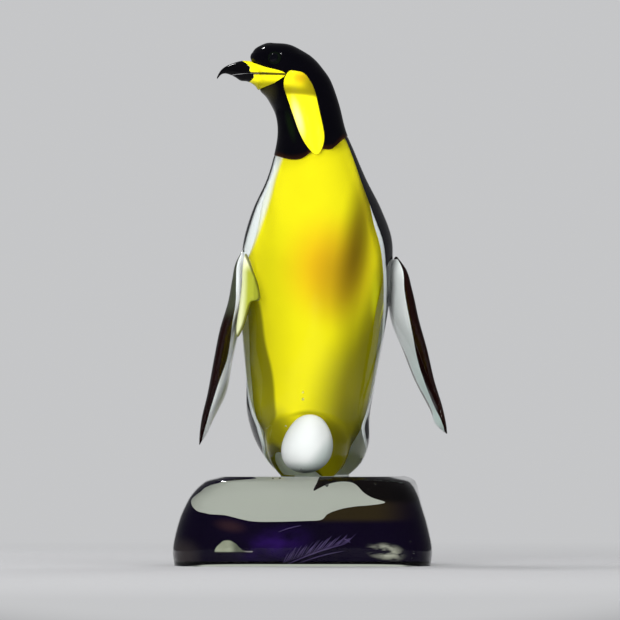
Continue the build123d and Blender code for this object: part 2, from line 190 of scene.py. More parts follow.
# Level, half size to the left, to the right at the front and at the back, half depth
block_rows = [
    (0.0, 0.494, 0.494, 0.494, 0.492),
    (0.16, 0.500, 0.500, 0.500, 0.500),
    (0.39, 0.487, 0.487, 0.487, 0.496),
    (0.65, 0.456, 0.460, 0.466, 0.488),
    (0.84, 0.416, 0.430, 0.458, 0.474),
    (0.91, 0.391, 0.410, 0.456, 0.458),
    (0.96, 0.364, 0.384, 0.450, 0.440),
    (1.0, 0.312, 0.330, 0.424, 0.410),
]
block_squareness = 5.0
violet_inset = 6.0 * mm
violet_floor = 0.9 * mm
violet_fall = 13.0 * mm
violet_foot_level = 0.05
# Across the block and up it: the violet's upper edge at the front
violet_edge_rows = [
    (-0.56, 0.56), (-0.45, 0.66), (-0.37, 0.62), (-0.28, 0.54), (-0.14, 0.50), (0.05, 0.50),
    (0.12, 0.56), (0.22, 0.64), (0.33, 0.70), (0.44, 0.74), (0.56, 0.70),
]

# Dark wall inside the block's front and ends, with a clear window and a clear corner at the right. At the
# upper left it stands in for the dark band that the block's rounded edges show by refraction; at the upper
# right it is the violet's own dark wave.
window_inset = 4.0 * mm
shell_wall = 1.6 * mm
shell_rear = -0.18 * block_depth
window_rear = -0.05 * block_depth
# As they are seen from the front, in millimetres: across and up
window_points = [
    (-54.5, 29.0), (-60.0, 30.8), (-61.6, 34.8), (-58.6, 39.8), (-53.2, 43.6), (-47.0, 45.9),
    (-38.5, 48.0), (-28.0, 50.0), (-16.0, 53.0), (-8.0, 58.0), (7.0, 58.0), (10.0, 50.5), (6.3, 42.6),
    (9.6, 43.6), (15.0, 45.9), (21.8, 47.0), (28.0, 46.6), (31.4, 44.8), (35.0, 41.2), (40.0, 38.4),
    (46.9, 36.1), (45.0, 35.0), (37.9, 34.1), (29.8, 33.4), (21.8, 31.9), (14.7, 29.3), (10.7, 25.9),
    (1.6, 25.2), (-18.5, 24.7), (-28.6, 25.0), (-36.0, 26.4), (-44.5, 28.4),
]
corner_points = [
    (54.0, 49.3), (59.4, 46.4), (63.6, 43.0), (66.0, 38.4), (78.0, 40.0), (76.0, 58.0), (54.0, 58.0),
]

# Patches raised on the surface, seen from the front, in millimetres: across and up
cheek_points = [
    (-7.5, 283.8), (-10.4, 279.5), (-10.8, 275.0), (-9.5, 270.4), (-6.0, 260.0), (-1.4, 247.4),
    (3.2, 239.4), (8.1, 235.3), (11.5, 239.9), (12.5, 247.4), (10.0, 260.0), (7.2, 272.1), (4.3, 278.4),
    (0.9, 282.4), (-2.6, 283.6),
]
web_points = [
    (-33.0, 178.5), (-31.0, 176.5), (-28.4, 169.3), (-25.5, 161.3), (-24.2, 153.6), (-26.1, 151.6),
    (-29.4, 151.0), (-31.4, 144.1), (-33.6, 137.2), (-37.0, 130.9), (-38.0, 136.0), (-36.4, 149.2),
    (-35.0, 160.7), (-34.4, 170.5),
]
cheek_plane = -17.0 * mm
cheek_relief = 2.3 * mm
cheek_sink = 0.3 * mm
web_plane = -26.0 * mm
web_relief = 1.6 * mm
web_sink = 0.5 * mm
flank_rear = -24.0 * mm

# Pale bead round the torso's foot, a painted highlight: it stands in for the bright line that the join of
# torso and block reflects
glint_half = 0.35 * mm
glint_rise = 0.30 * mm

# Where the head's pieces differ from the solids, in millimetres: across, up, shift across and up, reach
crown_low = 294.0 * mm
head_shifts = [
    (-30.2, 294.6, 0.9, -0.4, 3.2),
    (-26.0, 297.6, 0.2, -0.2, 3.6),
    (-0.3, 297.7, -0.3, -1.0, 6.0),
    (5.5, 293.0, -0.5, -0.7, 6.0),
    (11.8, 285.5, -0.6, -0.3, 6.0),
    (-22.1, 273.2, -2.2, -0.7, 3.4),
    (-35.3, 278.7, -0.2, -0.9, 2.6),
]

# Colours that several pieces share, and how strongly the glass bends light
yellow = (0.96, 0.86, 0.009)
# olive serves as painted shade on the core and under the beak
olive = (0.17, 0.155, 0.003)
glass_index = 1.5

# Tone of the pale sheet behind and under the object, and of the room beside it
backdrop = (0.56, 0.565, 0.575)
room = (0.13, 0.132, 0.137)


def in_mm(rows):
    """Rows of lengths that are written in millimetres."""
    return [tuple(value * mm for value in row) for row in rows]


def smooth(table, column, at):
    """Smooth value of a table's column at the places given in its first column."""
    xs = np.array([row[0] for row in table], float)
    ys = np.array([row[column] for row in table], float)
    at = np.clip(np.asarray(at, float), xs[0], xs[-1])
    slope = np.gradient(ys, xs)
    i = np.clip(np.searchsorted(xs, at, side="right") - 1, 0, len(xs) - 2)
    h = xs[i + 1] - xs[i]
    t = (at - xs[i]) / h
    a = (1 + 2 * t) * (1 - t) ** 2 * ys[i] + t * (1 - t) ** 2 * h * slope[i]
    b = t * t * (3 - 2 * t) * ys[i + 1] + t * t * (t - 1) * h * slope[i + 1]
    return a + b


def soft_max(a, b, width):
    """The larger of two values, rounded where they meet."""
    h = np.clip(0.5 + 0.5 * (a - b) / width, 0, 1)
    return b * (1 - h) + a * h + width * h * (1 - h)


def around(count):
    """Turns spread evenly round a ring."""
    return np.linspace(0, 2 * math.pi, count, endpoint=False)


def unit_circle(count):
    """Points round a circle of radius 1."""
    turns = around(count)
    return np.column_stack([np.cos(turns), np.sin(turns)])


def at_height(ring, height):
    """Points of a level ring, (x, y), at a height."""
    return np.column_stack([ring, np.full(len(ring), height)])


def drawn_in(ring, shares):
    """Copies of a ring, drawn in towards the axis."""
    return [ring * np.array([share, share, 1.0]) for share in shares]


def grid_mesh(name, grid, closed=True, ends=True):
    """Mesh through rows of points. closed joins each row's ends, ends caps the first and last row."""
    rows, columns = len(grid), len(grid[0])
    points = [tuple(p) for row in grid for p in row]
    faces = []
    last = columns if closed else columns - 1
    for r in range(rows - 1):
        for c in range(last):
            d = (c + 1) % columns
            faces.append((r * columns + c, r * columns + d, (r + 1) * columns + d, (r + 1) * columns + c))
    if ends:
        for start, turn in ((0, -1), ((rows - 1) * columns, 1)):
            middle = len(points)
            ring = points[start:start + columns]
            points.append(tuple(np.mean(ring, axis=0)))
            for c in range(columns):
                a, b = start + c, start + (c + 1) % columns
                faces.append((a, b, middle) if turn > 0 else (b, a, middle))
    mesh = bpy.data.meshes.new(name)
    mesh.from_pydata(points, [], faces)
    return mesh


@contextmanager
def edited(mesh):
    """The mesh opened for changes, which are written back at the end."""
    work = bmesh.new()
    work.from_mesh(mesh)
    yield work
    work.to_mesh(mesh)
    work.free()


def shade(mesh, sharp):
    """Smooth shading with sharp edges past an angle in degrees."""
    mesh.shade_smooth()
    mesh.set_sharp_from_angle(angle=math.radians(sharp))


def tidy(mesh, sharp=40.0):
    """Outward normals, smooth shading and sharp edges past an angle in degrees."""
    with edited(mesh) as work:
        bmesh.ops.remove_doubles(work, verts=work.verts, dist=1e-7)
        bmesh.ops.recalc_face_normals(work, faces=work.faces)
    shade(mesh, sharp)
    return mesh


def new_object(name, data):
    thing = bpy.data.objects.new(name, data)
    bpy.context.scene.collection.objects.link(thing)
    return thing


def piece(mesh, material, replaced=()):
    """Object on the one body, with its material and the solids that it stands for."""
    thing = new_object(mesh.name, mesh)
    mesh.materials.clear()
    mesh.materials.append(material)
    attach(thing, "root")
    if replaced:
        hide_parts(*replaced)
    return thing


# Materials


def new_material(name):
    material = bpy.data.materials.new(name)
    material.use_nodes = True
    material.node_tree.nodes.clear()
    return material


def add(material, kind, inputs=None, **settings):
    """Node of that kind. inputs are values, or sockets of other nodes to link."""
    made = material.node_tree.nodes.new("ShaderNode" + kind)
    for key, value in settings.items():
        setattr(made, key, value)
    for key, value in (inputs or {}).items():
        socket = made.inputs[key]
        if isinstance(value, bpy.types.NodeSocket):
            material.node_tree.links.new(value, socket)
        else:
            socket.default_value = (*value, 1.0) if socket.type == "RGBA" else value
    return made


def maths(material, operation, *values):
    return add(material, "Math", dict(enumerate(values)), operation=operation).outputs[0]


def times(material, product, *others):
    """Product of several values."""
    for other in others:
        product = maths(material, "MULTIPLY", product, other)
    return product


def length(material, u, v):
    """Length of a line with two parts at right angles."""
    return maths(material, "SQRT", maths(material, "ADD", times(material, u, u), times(material, v, v)))


def axes(material):
    """Place of the shaded point in the shared frame: X, Y and Z sockets."""
    place = add(material, "TexCoord").outputs["Object"]
    return add(material, "SeparateXYZ", {0: place}).outputs[:3]


def step(material, value, low, high, start=0.0, end=1.0):
    """start below low, end above high, smooth between."""
    inputs = {"Value": value, "From Min": low, "From Max": high, "To Min": start, "To Max": end}
    return add(material, "MapRange", inputs, interpolation_type="SMOOTHSTEP").outputs[0]


def mix(material, fac, a, b):
    """Colour a where fac is 0, b where it is 1."""
    return add(material, "Mix", {0: fac, 6: a, 7: b}, data_type="RGBA").outputs[2]


def blend(material, fac, a, b):
    """Shader a where fac is 0, b where it is 1."""
    return add(material, "MixShader", {0: fac, 1: a, 2: b}).outputs[0]


def paint(material, colour, where, strength, tint):
    """Colour with a tint over it, at a strength, where that is 1."""
    return mix(material, times(material, where, strength), colour, tint)


def spot(material, across, up, middle, half, lean=0.0, edge=1.0):
    """Soft spot: 1 in its middle, 0 past its half sizes, both in millimetres. lean turns it, in degrees."""
    dx = maths(material, "SUBTRACT", across, middle[0] * mm)
    dz = maths(material, "SUBTRACT", up, middle[1] * mm)
    c, s = math.cos(math.radians(lean)), math.sin(math.radians(lean))
    u = maths(material, "ADD", times(material, dx, c), times(material, dz, s))
    v = maths(material, "SUBTRACT", times(material, dz, c), times(material, dx, s))
    u = maths(material, "DIVIDE", u, half[0] * mm)
    v = maths(material, "DIVIDE", v, half[1] * mm)
    return step(material, length(material, u, v), 1.0, 1.0 - edge)


def paint_spots(material, colour, across, up, *spots):
    """Colour with spots over it: middle, half sizes, lean, edge, strength and tint of each."""
    for middle, half, lean, edge, strength, tint in spots:
        where = spot(material, across, up, middle, half, lean, edge)
        colour = paint(material, colour, where, strength, tint)
    return colour


def beside_line(material, value, along, points):
    """value less the smooth line through points, (along, value), in millimetres."""
    points = sorted(in_mm(points))
    lows, highs = np.min(points, axis=0), np.max(points, axis=0)
    share = add(material, "MapRange", {"Value": along, "From Min": lows[0], "From Max": highs[0]})
    line = add(material, "FloatCurve", {"Value": share.outputs[0]})
    curve = line.mapping.curves[0]
    while len(curve.points) < len(points):
        curve.points.new(0.5, 0.5)
    for knot, point in zip(curve.points, points):
        knot.location = (point - lows) / (highs - lows)
    line.mapping.update()
    back = {"Value": line.outputs[0], "To Min": lows[1], "To Max": highs[1]}
    return maths(material, "SUBTRACT", value, add(material, "MapRange", back, clamp=False).outputs[0])


def noise(material, scale, detail=2.0, stretch=None):
    place = add(material, "TexCoord").outputs["Object"]
    if stretch:
        place = add(material, "Mapping", {"Vector": place, "Scale": stretch}).outputs[0]
    inputs = {"Vector": place, "Scale": scale, "Detail": detail, "Roughness": 0.5}
    return add(material, "TexNoise", inputs).outputs["Fac"]


def bump(material, height, distance):
    return add(material, "Bump", {"Height": height, "Distance": distance, "Strength": 1.0}).outputs[0]


def surface(material, shader):
    return add(material, "OutputMaterial", {"Surface": shader})


def clear_glass(name, tint, absorb=None, density=0.0):
    """Solid clear glass. Lamps shine through it, so that what is inside it is lit."""
    m = new_material(name)
    normal = bump(m, noise(m, 45.0, 1.0), 0.02 * mm)
    glass = add(
        m, "BsdfPrincipled",
        {"Base Color": tint, "Roughness": 0.0, "IOR": glass_index, "Transmission Weight": 1.0,
         "Normal": normal, "Specular Tint": (0.35, 0.35, 0.35)},
    )
    through = add(m, "BsdfTransparent", {"Color": tint})
    lamps = add(m, "LightPath").outputs["Is Shadow Ray"]
    out = surface(m, blend(m, lamps, glass.outputs[0], through.outputs[0]))
    if absorb:
        volume = add(m, "VolumeAbsorption", {"Color": absorb, "Density": density})
        m.node_tree.links.new(volume.outputs[0], out.inputs["Volume"])
    return m


def plain_glass(material, colour, roughness=0.1, specular=0.5, coat=0.0, normal=None):
    """Opaque coloured glass: a gloss over a colour that nodes may vary."""
    inputs = {
        "Base Color": colour, "Roughness": roughness, "IOR": glass_index, "Specular IOR Level": specular,
        "Coat Weight": coat, "Coat Roughness": 0.03,
    }
    if normal is not None:
        inputs["Normal"] = normal
    surface(material, add(material, "BsdfPrincipled", inputs).outputs[0])
    return material


def mottled_glass(name, scale, colour, other, **finish):
    """Coloured glass that varies softly between two tones."""
    m = new_material(name)
    return plain_glass(m, mix(m, noise(m, scale, 3.0), colour, other), **finish)


def yellow_tone(material, scale, share):
    """The yellow, varied softly down to a share of itself."""
    return mix(material, noise(material, scale, 3.0), yellow, tuple(share * c for c in yellow))


def core_material():
    """Yellow core, with painted shade and painted light. Its shades are placed where they show through the
    round casing, which widens them.
    """
    m = new_material("yellow_core")
    z = axes(m)[2]
    seen = add(m, "Attribute", attribute_name="seen").outputs["Fac"]
    # Amber and brown on the breast: the deep colour of thick yellow glass, darkened further as painted
    # shade
    colour = paint_spots(
        m, yellow_tone(m, 60.0, 0.94), seen, z,
        ((13, 170), (32, 38), 0.0, 0.95, 0.9, (0.90, 0.48, 0.010)),
        ((21, 166), (21, 38), -8.0, 0.95, 0.75, (0.50, 0.31, 0.008)),
    )
    # Painted shade: olive over the right side, where less light falls
    right = beside_line(m, seen, z, [(50, 1), (70, 4), (90, 8), (110, 14), (135, 27), (160, 43), (185, 60)])
    colour = paint(m, colour, step(m, right, -13 * mm, 15 * mm), 0.88, olive)
    # Painted light: a brighter yellow-green patch at the right; painted shade: dark brown beside and above
    # it
    colour = paint_spots(
        m, colour, seen, z,
        ((43, 154), (5, 18), 0.0, 0.9, 0.8, (0.80, 0.80, 0.01)),
        ((31.5, 184), (13.5, 62), -10.0, 0.95, 0.85, (0.12, 0.065, 0.003)),
    )
    # Painted shadow: olive down the lower left side, deepest near its edge
    left = beside_line(
        m, seen, z, [(50, -10), (78, -13), (91, -14.5), (108, -16), (129, -21), (152, -25), (175, -45)]
    )
    side = step(m, left, 1.2 * mm, -1.2 * mm)
    near = times(m, side, step(m, left, -22 * mm, -2 * mm))
    shaded = maths(m, "ADD", times(m, side, 0.55), times(m, near, 0.4))
    colour = mix(m, shaded, colour, (0.24, 0.22, 0.004))
    # Painted shade: olive to the left and to the right of the egg
    colour = paint_spots(
        m, colour, seen, z,
        ((-18, 70), (21, 26), 0.0, 0.6, 0.9, (0.24, 0.22, 0.005)),
        ((29, 80), (15, 24), 0.0, 0.9, 0.6, (0.09, 0.085, 0.002)),
    )
    # Painted shadow: an olive arc just above the egg
    egg_shadow_arc = spot(m, seen, z, (3.5, 71), (16.5, 20.5), edge=0.25)
    egg_shadow_arc = times(m, egg_shadow_arc, step(m, z, 82 * mm, 88 * mm))
    colour = paint(m, colour, egg_shadow_arc, 0.7, (0.17, 0.16, 0.003))
    flank = beside_line(
        m, seen, z,
        [(150, -45), (170, -33.5), (181.4, -27.8), (195.2, -22.7), (207.8, -18.7), (221.0, -15.2),
         (233.0, -11.2), (250.0, -6.0)],
    )
    colour = mix(m, step(m, flank, 0.6 * mm, -2.4 * mm), colour, (0.93, 0.95, 0.90))
    return plain_glass(m, colour, roughness=0.5, specular=0.0)


def lining_material():
    """White layer under the back's black, which turns into grey-green glass at the foot."""
    m = new_material("white_lining_glass")
    x, _, z = axes(m)
    white = mix(m, noise(m, 30.0, 3.0), (0.90, 0.93, 0.92), (0.80, 0.86, 0.86))
    low = step(m, z, torso_foot + 26 * mm, torso_foot + 12 * mm)
    green = mix(m, noise(m, 120.0, 3.0), (0.20, 0.24, 0.17), (0.32, 0.37, 0.29))
    green = mix(m, step(m, x, 8 * mm, -4 * mm), green, (0.46, 0.53, 0.47))
    return plain_glass(m, mix(m, low, white, green), roughness=0.5, specular=0.0)


def head_material():
    """Black glass with a ragged brown hem at the neck and faint shades on throat and cheek."""
    m = new_material("black_head_glass")
    x, _, z = axes(m)
    colour = mix(m, noise(m, 90.0, 3.0), (0.0008, 0.0008, 0.0018), (0.0018, 0.0015, 0.0028))
    above = beside_line(m, z, x, neck_edge_points)
    ripple = maths(m, "SUBTRACT", noise(m, 260.0, 2.0), 0.5)
    ragged = maths(m, "ADD", above, times(m, ripple, 1.6 * mm))
    colour = mix(m, step(m, ragged, 3.6 * mm, 0.4 * mm), colour, (0.012, 0.004, 0.002))
    colour = mix(m, step(m, ragged, 0.9 * mm, -0.5 * mm), colour, (0.060, 0.026, 0.004))
    colour = paint_spots(
        m, colour, x, z,
        ((-21.5, 271), (9, 11), 0.0, 0.95, 0.7, (0.035, 0.031, 0.011)),
        ((-7, 252), (3, 13), 14.0, 0.95, 0.6, (0.004, 0.010, 0.002)),
    )
    normal = bump(m, noise(m, 55.0, 1.0), 0.03 * mm)
    return plain_glass(m, colour, roughness=0.06, specular=0.08, normal=normal)


def cheek_material():
    """Yellow with painted shade: an olive band, with amber and olive shade above it; and a painted
    highlight, a pale streak below.
    """
    m = new_material("yellow_cheek_glass")
    x, _, z = axes(m)
    colour = yellow_tone(m, 120.0, 0.93)
    # Painted shade: an olive band over the patch's upper part
    tilt = maths(m, "ADD", z, times(m, x, 0.06))
    cheek_top_shade = times(m, step(m, tilt, 267.8 * mm, 270.6 * mm), step(m, tilt, 278 * mm, 271.5 * mm))
    # Painted shade in amber and olive at the top, and a pale painted highlight lower down
    colour = paint_spots(
        m, paint(m, colour, cheek_top_shade, 0.9, (0.20, 0.17, 0.003)), x, z,
        ((-1.0, 279), (9, 6), 0.0, 0.9, 0.9, (0.52, 0.32, 0.006)),
        ((5.0, 275.5), (8, 10), 14.0, 0.9, 0.9, (0.22, 0.18, 0.003)),
        ((-2.6, 256), (3.8, 16), 14.0, 0.9, 0.7, (0.93, 0.88, 0.40)),
    )
    return plain_glass(m, colour, roughness=0.12, specular=0.12, coat=0.05)


def beak_yellow_material():
    """Yellow with painted shade under the chin and a dark line of painted shade in the gap of the mouth."""
    m = new_material("yellow_beak_glass")
    x, _, z = axes(m)
    # Painted shade: olive under the chin
    colour = paint(m, yellow_tone(m, 150.0, 0.9), step(m, z, 279.5 * mm, 275.5 * mm), 0.85, olive)
    # Painted shade: a dark line in the gap of the mouth
    side = beside_line(m, z, x, [(-34.4, 282.07), (-27.8, 282.1), (-18.7, 281.6), (-10.9, 281.2)])
    mouth = step(m, maths(m, "ABSOLUTE", side), 1.1 * mm, 0.4 * mm)
    colour = paint(m, colour, mouth, 0.95, (0.035, 0.025, 0.004))
    return plain_glass(m, colour, roughness=0.12, specular=0.12, coat=0.05)


def flipper_white_material():
    """White, greener towards the right flipper's tip, with an olive strip inside the left one."""
    m = new_material("white_flipper_glass")
    x, _, z = axes(m)
    colour = mix(m, noise(m, 80.0, 4.0), (0.93, 0.95, 0.94), (0.84, 0.88, 0.87))
    low = times(m, step(m, z, 145 * mm, 95 * mm), step(m, x, 0.0, 20 * mm))
    colour = paint(m, colour, low, 0.55, (0.60, 0.86, 0.78))
    edge = beside_line(
        m, x, z,
        [(81.4, -54.7), (90.3, -51.7), (101.1, -47.8), (114.0, -43.3), (124.9, -41.6), (134.8, -40.4),
         (142.7, -39.9)],
    )
    strip = times(
        m, step(m, edge, 0.6 * mm, 1.8 * mm), step(m, x, 0.0, -10 * mm), step(m, z, 150 * mm, 136 * mm)
    )
    colour = paint(m, colour, strip, 0.9, (0.33, 0.35, 0.18))
    return plain_glass(m, colour, roughness=0.4, specular=0.0)


def flipper_dark_material():
    """Black and maroon, grey-green at the front of the left flipper's root."""
    m = new_material("maroon_flipper_glass")
    x, y, z = axes(m)
    colour = mix(m, noise(m, 60.0, 4.0), (0.003, 0.0012, 0.0014), (0.017, 0.004, 0.003))
    root = times(
        m, step(m, z, 139 * mm, 150 * mm), step(m, x, 10 * mm, -10 * mm), step(m, y, -8 * mm, -17 * mm)
    )
    colour = mix(m, root, colour, (0.055, 0.062, 0.038))
    return plain_glass(m, colour, roughness=0.4, specular=0.0)


def web_material():
    """Yellow-green glass between a flipper and the flank, with a darker rim to the body's side."""
    m = new_material("green_web_glass")
    x, _, z = axes(m)
    flow = noise(m, 90.0, 3.0, stretch=(1.0, 1.0, 0.35))
    colour = mix(m, flow, (0.22, 0.245, 0.012), (0.36, 0.39, 0.035))
    outer = beside_line(m, x, z, [(131, -36), (150, -33), (179, -32.5)])
    colour = paint(m, colour, step(m, outer, 2 * mm, -2 * mm), 0.85, (0.58, 0.61, 0.36))
    colour = mix(m, step(m, z, 167 * mm, 177 * mm), colour, (0.86, 0.87, 0.60))
    rim = beside_line(
        m, x, z,
        [(131, -37.0), (137.2, -33.6), (144.1, -31.4), (150.6, -29.0), (153.0, -24.3), (161.3, -25.5),
         (169.3, -28.4), (178.5, -32.6)],
    )
    colour = paint(m, colour, step(m, rim, -1.9 * mm, -0.5 * mm), 0.9, (0.075, 0.075, 0.003))
    return plain_glass(m, colour, roughness=0.1, specular=0.3)


def egg_material():
    """White opal, with painted shade: greyer at its lower right and at its foot."""
    m = new_material("egg_opal_glass")
    x, _, z = axes(m)
    colour = mix(m, noise(m, 60.0, 3.0), (0.94, 0.95, 0.94), (0.90, 0.92, 0.91))
    # Painted shade towards the lower right
    lean = maths(m, "SUBTRACT", x, times(m, maths(m, "SUBTRACT", z, egg_middle[2]), 0.75))
    lean = maths(m, "SUBTRACT", lean, egg_middle[0])
    colour = paint(m, colour, step(m, lean, 6.5 * mm, 15.0 * mm), 0.75, (0.50, 0.58, 0.55))
    # Painted shade at the foot
    foot = step(m, z, egg_middle[2] - 9.5 * mm, egg_middle[2] - 14.5 * mm)
    colour = paint(m, colour, foot, 0.7, (0.58, 0.66, 0.62))
    return plain_glass(m, colour, roughness=0.35, specular=0.0)


def violet_material():
    """Dark violet glass. At the front it has a smoky corner, and painted light: pale patches where light
    shows through gaps in the violet, one of them feathered in streaks.
    """
    m = new_material("violet_base_glass")
    x, y, z = axes(m)
    colour = mix(m, noise(m, 40.0, 4.0), (0.0012, 0.0008, 0.004), (0.005, 0.002, 0.015))
    bright = spot(m, x, z, (-16, 13), (27, 12), lean=12.0, edge=0.95)
    cloud = step(m, noise(m, 70.0, 3.0, stretch=(0.6, 1.0, 1.0)), 0.30, 0.60)
    colour = paint_spots(
        m, mix(m, times(m, bright, cloud), colour, (0.020, 0.005, 0.085)), x, z,
        ((-41, 23), (12, 5), -10.0, 0.9, 0.8, (0.030, 0.013, 0.018)),
        ((-70, 6), (16, 13), 0.0, 0.8, 0.8, (0.035, 0.028, 0.030)),
    )
    right = step(m, x, 4 * mm, 12 * mm)
    smoke = times(m, right, step(m, x, 66 * mm, 40 * mm), step(m, z, 24 * mm, 28 * mm))
    colour = mix(m, smoke, colour, (0.024, 0.017, 0.007))
    wave = beside_line(m, z, x, [(6, 40), (20, 40), (34, 39), (48, 36.5), (62, 36), (75, 36)])
    top = times(m, step(m, wave, -2.0 * mm, 2.0 * mm), right)
    colour = paint(m, colour, top, 0.95, (0.003, 0.0025, 0.003))
    # Painted light: pale patches where light shows through gaps in the violet, a small triangle with a tail
    # and a feathered patch
    front = step(m, y, -0.30 * block_depth, -0.40 * block_depth)
    roof = beside_line(
        m, z, x,
        [(-50, 8.2), (-46.8, 13.0), (-42.8, 14.9), (-38.7, 13.6), (-35.6, 10.8), (-32.6, 9.0),
         (-27.5, 9.0)],
    )
    under = times(m, step(m, roof, 0.3 * mm, -0.6 * mm), step(m, z, 8.0 * mm, 8.8 * mm))
    ends = times(m, step(m, x, -50.5 * mm, -49.0 * mm), step(m, x, -27.8 * mm, -29.0 * mm))
    streaks = noise(m, 160.0, 3.0, stretch=(0.5, 1.0, 1.0))
    pale = mix(m, streaks, (0.16, 0.17, 0.12), (0.42, 0.45, 0.34))
    pale = mix(m, step(m, x, -42 * mm, -37 * mm), pale, (0.10, 0.11, 0.08))
    pale = mix(m, step(m, x, -34 * mm, -30 * mm), pale, (0.55, 0.47, 0.50))
    colour = mix(m, times(m, under, ends, front), colour, pale)
    # Painted light through a gap: the feathered patch
    feather = spot(m, x, z, (47, 8.5), (13, 6.0), lean=-10.0, edge=0.8)
    strands = step(m, noise(m, 300.0, 4.0, stretch=(0.22, 1.0, 1.0)), 0.42, 0.60)
    colour = mix(m, times(m, feather, strands, front), colour, (0.42, 0.43, 0.35))
    return plain_glass(m, colour, roughness=0.4, specular=0.0)


# Clear glass of the body


def height_of(level):
    """Height of a level share of the torso."""
    return torso_foot + level * torso_height


def torso_section(rows, level):
    """Centre across, half width and the reach to the front and to the back, at a level share."""
    centre, half, front, back = (smooth(rows, column, level) for column in (1, 2, 3, 4))
    return torso_offset + centre * torso_width, half * torso_width, front * torso_depth, back * torso_depth


def torso_ring(level, rows, grow, turns):
    """Points of a level section, swollen by grow, and its centre. A quarter turn is the back."""
    centre, half, front, back = torso_section(rows, level)
    deep = np.where(np.sin(turns) > 0, back + grow, front + grow)
    return np.stack([centre + (half + grow) * np.cos(turns), deep * np.sin(turns)], axis=1), centre


def rays(ring, centre):
    """Lengths and directions from a centre on the X axis to the points of a ring."""
    out = ring - (centre, 0.0)
    size = np.linalg.norm(out, axis=1)
    return size, out / size[:, None]


def bulge_reach(origin, ways, height):
    """How far the egg's bulge reaches from a point along level directions, or 0."""
    mx, my, mz = bulge_middle
    ax, ay, az = bulge_half
    left = 1 - ((height - mz) / az) ** 2
    if left <= 0:
        return np.zeros(len(ways))
    px, py = (origin[0] - mx) / ax, (origin[1] - my) / ay
    dx, dy = ways[:, 0] / ax, ways[:, 1] / ay
    a = dx * dx + dy * dy
    b = dx * px + dy * py
    c = px * px + py * py - left
    root = b * b - a * c
    return np.where(root > 0, (-b + np.sqrt(np.maximum(root, 0))) / a, 0.0)


def body_mesh():
    """Envelope of the torso's clear glass with the egg's bulge, run up inside the black head."""
    turns = around(160)
    hem = list(zip(*in_mm(neck_edge_points)))
    grid = []
    for level in np.linspace(0.0, casing_top, 190):
        height = height_of(level) + layer_gap * (level == 0)
        ring, centre = torso_ring(level, torso_rows, 0.0, turns)
        size, ways = rays(ring, centre)
        reach = bulge_reach((centre, 0.0), ways, height)
        size = np.where(reach > 0, soft_max(size, reach, bulge_blend), size)
        edge = np.interp(centre + ways[:, 0] * size, *hem)
        inside = np.clip((height - edge + 0.5 * mm) / (1.5 * mm), 0, 1)
        size = size - neck_inset * inside
        grid.append(at_height((centre, 0.0) + ways * size[:, None], height))
    return grid_mesh("body_glass", grid)


def lump_mesh():
    """Clear lump that fuses the right flipper to the body."""
    middle = flippers["right"]["root"] + lump_shift
    circle = unit_circle(64)
    grid = []
    for up in np.linspace(-0.985, 0.985, 40):
        ring = middle[:2] + lump_half[:2] * math.sqrt(1 - up * up) * circle
        grid.append(at_height(ring, middle[2] + lump_half[2] * up))
    return grid_mesh("lump", grid)


def blade_section(spec, drop, grow):
    """Middle, chord direction, thickness direction, half chord, half thickness and colour line."""
    side, reach = spec["side"], spec["length"]
    ends = [(0.0, 0.0, 0.02, 0.02, 0.0), *spec["rows"], (*spec["tip"], 0.01, 0.01, 0.0)]
    out, thick, chord, line = (float(smooth(ends, column, drop)) for column in (1, 2, 3, 4))
    turn = math.radians(spec["toe"])
    along = np.array([side * math.sin(turn), -math.cos(turn), 0.0])
    across = np.array([side * math.cos(turn), math.sin(turn), 0.0])
    middle = spec["root"] + np.array([side * out * reach, 0.0, -drop * reach])
    chord = chord * flipper_chord + grow
    return middle, along, across, chord, thick * flipper_thickness + grow, line * flipper_thickness


def blade_drops(count, low=0.0, high=1.0):
    """Places down a blade, closer together at its round ends."""
    return low + (high - low) * (0.5 - 0.5 * np.cos(np.linspace(0, math.pi, count)))


def blade_mesh(name, spec):
    """Clear glass of a flipper."""
    c, s = unit_circle(56).T
    grid = []
    for drop in blade_drops(90, 0.004, 0.998):
        middle, along, across, chord, thick, _ = blade_section(spec, drop, 0.0)
        grid.append(middle + np.outer(chord * c, along) + np.outer(thick * s, across))
    return grid_mesh(name, grid)


def blade_layer_mesh(name, spec, outer):
    """A colour's layer inside a blade: outside of the line between the colours, or a wall inside of it."""
    steepest = 0.97
    parting = 0.04 * mm if outer else -0.04 * mm
    grid = []
    for drop in blade_drops(80, 0.02, 0.99):
        middle, along, across, chord, thick, line = blade_section(spec, drop, -blade_cover)
        chord, thick = max(chord, blade_least), max(thick, blade_least)
        start = math.asin(np.clip((line + parting) / thick, -steepest, steepest))
        if outer:
            turns = [np.linspace(start, math.pi - start, 34)]
        else:
            wall = float(smooth(spec["white_rows"], 1, drop))
            stop = math.asin(np.clip(math.sin(start) - wall, -steepest, steepest))
            ends = ((math.pi - start, math.pi - stop), (2 * math.pi + stop, 2 * math.pi + start))
            turns = [np.linspace(*pair, 17) for pair in ends]
        arcs = [np.column_stack([chord * np.cos(turn), thick * np.sin(turn)]) for turn in turns]
        flat = []
        for arc, after in zip(arcs, arcs[1:] + arcs[:1]):
            flat += [arc, arc[-1] + (after[0] - arc[-1]) * np.linspace(0, 1, 14)[1:-1, None]]
        flat = np.vstack(flat)
        grid.append(middle + flat[:, :1] * along + flat[:, 1:] * across)
    return grid_mesh(name, grid)


def prism_mesh(name, outline, front, back):
    """Solid of an outline, (across, up), between two depths."""
    grid = [np.insert(outline, 1, depth, axis=1) for depth in (front, back)]
    mesh = grid_mesh(name, grid, ends=False)
    with edited(mesh) as work:
        bmesh.ops.holes_fill(work, edges=[e for e in work.edges if e.is_boundary])
        bmesh.ops.recalc_face_normals(work, faces=work.faces)
    return mesh


